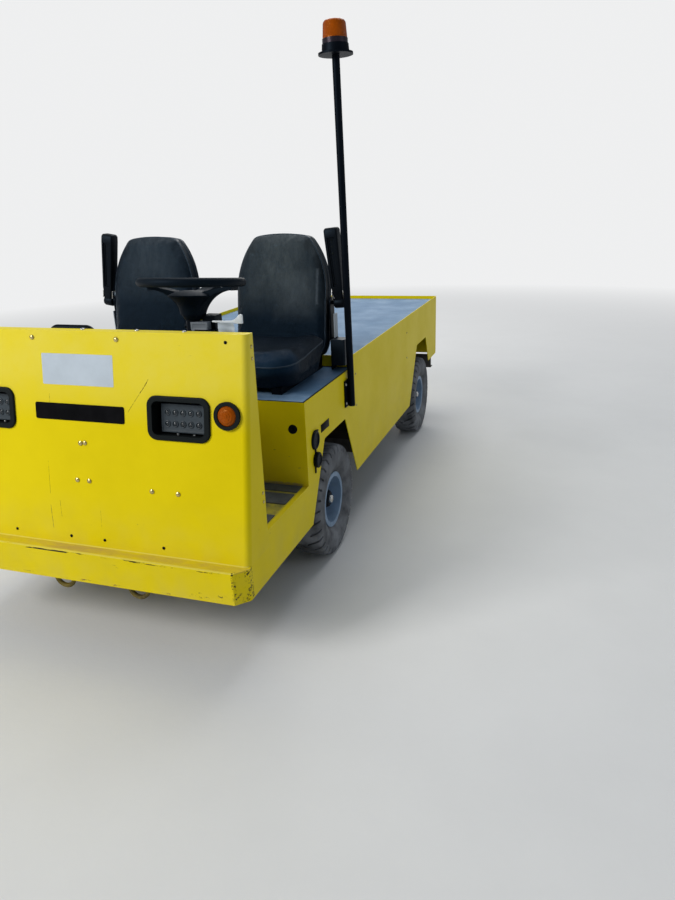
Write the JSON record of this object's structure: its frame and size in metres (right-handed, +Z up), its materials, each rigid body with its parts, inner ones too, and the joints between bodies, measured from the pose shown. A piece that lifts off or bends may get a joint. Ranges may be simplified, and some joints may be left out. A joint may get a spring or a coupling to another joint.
{
  "type": "electric utility vehicle",
  "caption": "Two-seat electric utility vehicle with a flat cargo deck, folded sheet-steel body, bucket seats, a beacon on a side mast, free wheels and linked steering.",
  "frame": {"origin": "on the ground, at the bottom centre of the whole vehicle's box; the body's centre plane is 31 mm to the right of it, because the beacon mast stands outside the left panel", "axes": "+Z up, -Y towards the front bumper, +X towards the driver's side, which is the vehicle's left"},
  "size_m": [1.2425, 3.0699, 2.0112],
  "materials": {
    "yellow_paint": "gloss",
    "black_paint": "satin",
    "grey_deck": "matte",
    "rim_paint": "satin",
    "black_plastic": "satin",
    "black_vinyl": "satin",
    "grip_mat": "matte",
    "tyre_rubber": "matte",
    "steel": "satin",
    "clear_lens": "gloss",
    "amber_lens": "gloss",
    "red_lens": "gloss",
    "battery_case": "matte"
  },
  "bodies": {
    "chassis": {"chassis_frame": "black_paint", "front_bumper": "yellow_paint", "front_cowl": "yellow_paint", "lamp_surrounds": "black_plastic", "headlight_lamps": "clear_lens", "marker_lenses": "amber_lens", "footwell": "yellow_paint", "floor_mats": "grip_mat", "side_panel_left": "yellow_paint", "side_panel_right": "yellow_paint", "seat_deck": "grey_deck", "bulkheads": "yellow_paint", "cargo_deck": "grey_deck", "deck_stringers": "black_paint", "tail_panel": "yellow_paint", "tail_lamps": "red_lens", "dash_panel": "black_paint", "steering_column": "black_paint", "pedals": "black_paint", "charge_port": "black_plastic", "tie_down_loops": "black_paint", "battery_pack": "battery_case", "front_axle": "black_paint", "rear_axle": "black_paint", "drive_motor": "steel", "seat_cushion_left": "black_vinyl", "seat_cushion_right": "black_vinyl", "seat_back_left": "black_vinyl", "seat_back_right": "black_vinyl", "seat_frames": "black_paint", "seat_belts": "black_plastic", "beacon_mast": "black_paint", "beacon_lens": "amber_lens"},
    "steering_wheel": {"steering_wheel": "black_plastic"},
    "pitman_arm": {"pitman_arm": "steel"},
    "drag_link": {"drag_link": "steel"},
    "knuckle_left": {"knuckle_left": "black_paint"},
    "knuckle_right": {"knuckle_right": "black_paint"},
    "tie_rod": {"tie_rod": "steel"},
    "armrest_left": {"armrest_left": "black_plastic"},
    "armrest_right": {"armrest_right": "black_plastic"},
    "wheel_front_left": {"rim_front_left": "rim_paint", "tyre_front_left": "tyre_rubber"},
    "wheel_front_right": {"rim_front_right": "rim_paint", "tyre_front_right": "tyre_rubber"},
    "wheel_rear_left": {"rim_rear_left": "rim_paint", "tyre_rear_left": "tyre_rubber"},
    "wheel_rear_right": {"rim_rear_right": "rim_paint", "tyre_rear_right": "tyre_rubber"}
  },
  "joints": [
    {"name": "steer_left", "type": "hinge", "parent": "chassis", "child": "knuckle_left", "pos_m": [0.39875, -0.654, 0.235], "axis": [0, 0, 1], "range_deg": [-28, 28]},
    {"name": "steer_right", "type": "hinge", "parent": "chassis", "child": "knuckle_right", "pos_m": [-0.46125, -0.654, 0.235], "axis": [0, 0, 1], "range_deg": [-28, 28]},
    {"name": "tie_rod_swing", "type": "hinge", "parent": "knuckle_left", "child": "tie_rod", "pos_m": [0.39875, -0.539, 0.171], "axis": [0, 0, 1], "range_deg": [-28, 28]},
    {"name": "pitman_swing", "type": "hinge", "parent": "chassis", "child": "pitman_arm", "pos_m": [0.39875, -1.135, 0.306], "axis": [0, 0, 1], "range_deg": [-28, 28]},
    {"name": "drag_link_swing", "type": "hinge", "parent": "pitman_arm", "child": "drag_link", "pos_m": [0.26875, -1.135, 0.306], "axis": [0, 0, 1], "range_deg": [-28, 28]},
    {"name": "steering_wheel_turn", "type": "hinge", "parent": "chassis", "child": "steering_wheel", "pos_m": [0.27775, -1.17, 1.181], "axis": [0, 0.1045, 0.9945], "range_deg": [-448, 448]},
    {"name": "wheel_front_left_spin", "type": "hinge", "parent": "knuckle_left", "child": "wheel_front_left", "pos_m": [0.48775, -0.654, 0.235], "axis": [1, 0, 0], "continuous": true},
    {"name": "wheel_front_right_spin", "type": "hinge", "parent": "knuckle_right", "child": "wheel_front_right", "pos_m": [-0.55025, -0.654, 0.235], "axis": [1, 0, 0], "continuous": true},
    {"name": "wheel_rear_left_spin", "type": "hinge", "parent": "chassis", "child": "wheel_rear_left", "pos_m": [0.48775, 1.034, 0.235], "axis": [1, 0, 0], "continuous": true},
    {"name": "wheel_rear_right_spin", "type": "hinge", "parent": "chassis", "child": "wheel_rear_right", "pos_m": [-0.55025, 1.034, 0.235], "axis": [1, 0, 0], "continuous": true},
    {"name": "armrest_left_fold", "type": "hinge", "parent": "chassis", "child": "armrest_left", "pos_m": [0.52375, -0.43, 1.016], "axis": [1, 0, 0], "range_deg": [0, 90]},
    {"name": "armrest_right_fold", "type": "hinge", "parent": "chassis", "child": "armrest_right", "pos_m": [-0.58625, -0.43, 1.016], "axis": [1, 0, 0], "range_deg": [0, 90]}
  ],
  "couplings": [
    {"joint": "steer_right", "follows": "steer_left", "ratio": 1},
    {"joint": "tie_rod_swing", "follows": "steer_left", "ratio": -1},
    {"joint": "pitman_swing", "follows": "steer_left", "ratio": 1},
    {"joint": "drag_link_swing", "follows": "steer_left", "ratio": -1},
    {"joint": "steering_wheel_turn", "follows": "steer_left", "ratio": 16}
  ]
}
